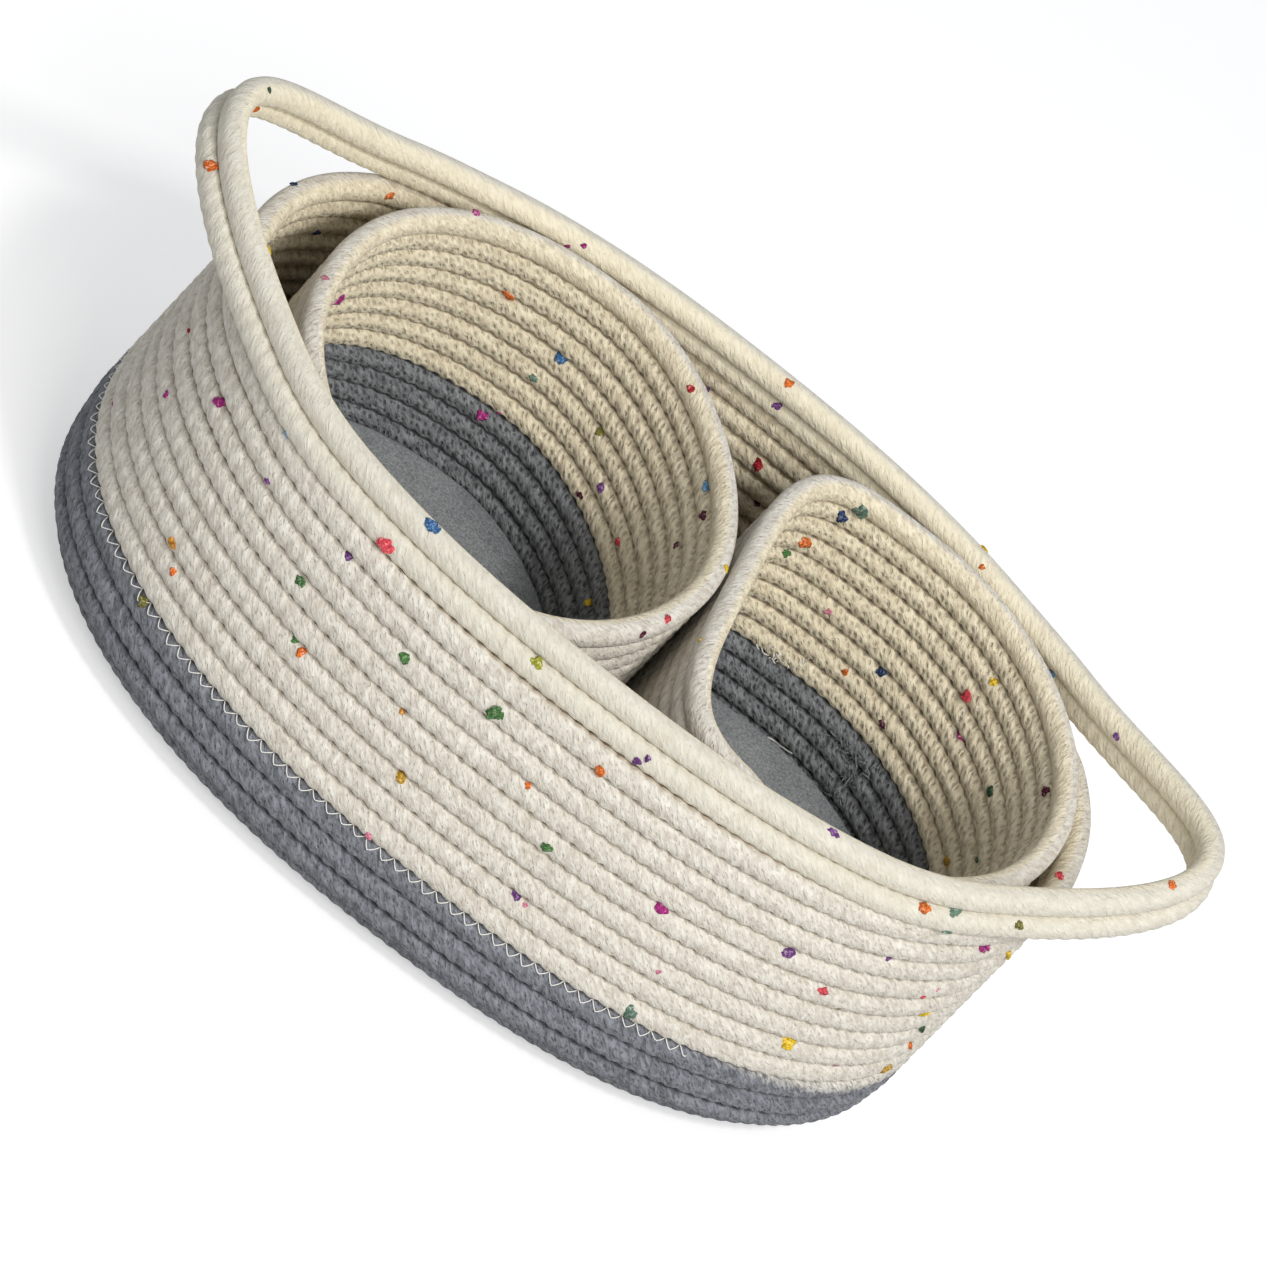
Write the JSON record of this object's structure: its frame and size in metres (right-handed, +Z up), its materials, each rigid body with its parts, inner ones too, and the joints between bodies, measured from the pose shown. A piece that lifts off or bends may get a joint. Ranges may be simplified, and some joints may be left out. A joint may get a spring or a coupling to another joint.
{
  "type": "rope basket",
  "caption": "Oval cotton rope basket with loop handles at its ends, holding smaller loose rope baskets; cream walls flecked with colour over grey bases.",
  "frame": {"origin": "centre of the underside, on the surface that the basket stands on", "axes": "+X along the long axis, towards the D-shaped small basket; +Z up; the pictured side faces -Y"},
  "size_m": [0.4328, 0.2462, 0.1627],
  "materials": {
    "cream_rope": "matt cotton with coloured slubs",
    "grey_rope": "matt dyed cotton",
    "felt_pad": "matt dyed felt, paler than the rope"
  },
  "bodies": {
    "large_basket": {"large_floor": "grey_rope", "large_grey_coil": "grey_rope", "large_cream_coil": "cream_rope", "large_back_rim": "cream_rope", "large_front_rim": "cream_rope"},
    "right_handle_loop": {"right_handle": "cream_rope"},
    "left_handle_loop": {"left_handle": "cream_rope"},
    "small_left_basket": {"small_left_floor": "grey_rope", "small_left_pad": "felt_pad", "small_left_grey_coil": "grey_rope", "small_left_cream_coil": "cream_rope"},
    "small_right_basket": {"small_right_floor": "grey_rope", "small_right_pad": "felt_pad", "small_right_grey_coil": "grey_rope", "small_right_cream_coil": "cream_rope"}
  },
  "joints": [
    {"name": "right_handle_bend", "type": "hinge", "parent": "large_basket", "child": "right_handle_loop", "pos_m": [0.1532, 0, 0.1433], "axis": [0, -1, 0], "range_deg": [0, 35]},
    {"name": "left_handle_bend", "type": "hinge", "parent": "large_basket", "child": "left_handle_loop", "pos_m": [-0.1532, 0, 0.1433], "axis": [0, 1, 0], "range_deg": [0, 35]},
    {"name": "small_left_lift", "type": "slide", "parent": "large_basket", "child": "small_left_basket", "axis": [0, 0, 1], "range_m": [0, 0.15]},
    {"name": "small_right_lift", "type": "slide", "parent": "large_basket", "child": "small_right_basket", "axis": [0, 0, 1], "range_m": [0, 0.15]}
  ]
}
